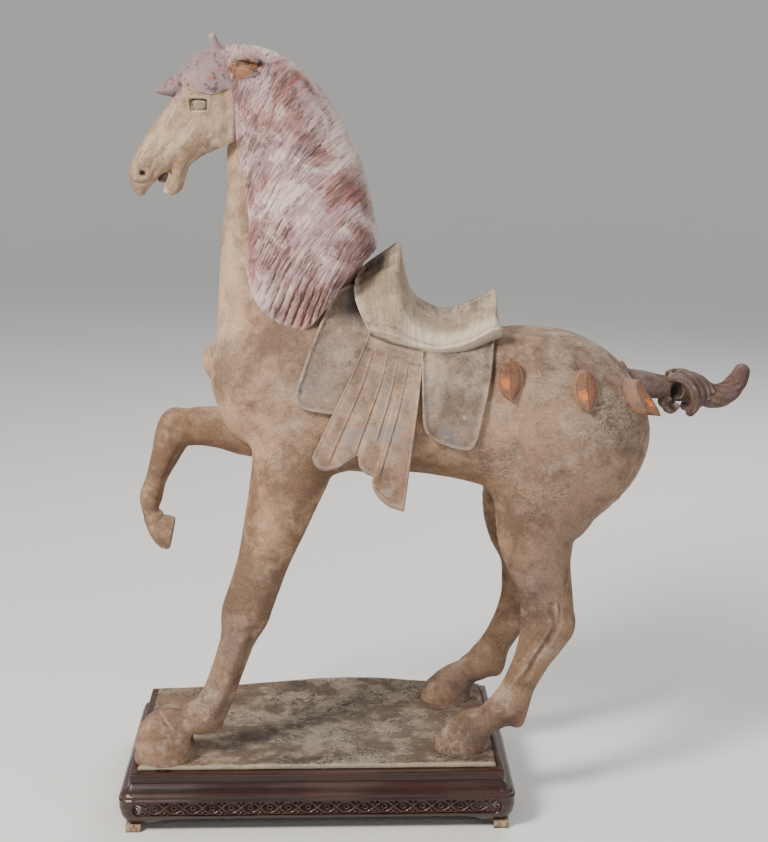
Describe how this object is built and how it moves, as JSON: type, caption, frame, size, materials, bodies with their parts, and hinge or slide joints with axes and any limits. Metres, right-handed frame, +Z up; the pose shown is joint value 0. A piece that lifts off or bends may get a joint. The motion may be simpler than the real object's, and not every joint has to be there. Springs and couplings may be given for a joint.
{
  "type": "dancing horse figure",
  "caption": "Standing pottery horse with one foreleg raised, saddled, on its clay slab in a low carved wooden stand.",
  "frame": {"origin": "on the floor, under the middle of the box round the whole part", "axes": "+Z up; +X from the head towards the tail; the near side, with the standing foreleg, faces -Y"},
  "size_m": [0.64, 0.258, 0.776],
  "materials": {
    "clay": "unglazed, dusty, with worn lilac and red paint",
    "wood": "polished dark red-brown hardwood",
    "pad": "pale, chipped"
  },
  "bodies": {
    "root": {"horse": "clay", "stand": "wood", "frieze_front": "wood", "frieze_back": "wood", "frieze_left": "wood", "frieze_right": "wood", "foot_pad_front_left": "pad", "foot_pad_front_right": "pad", "foot_pad_back_left": "pad", "foot_pad_back_right": "pad"}
  },
  "joints": []
}
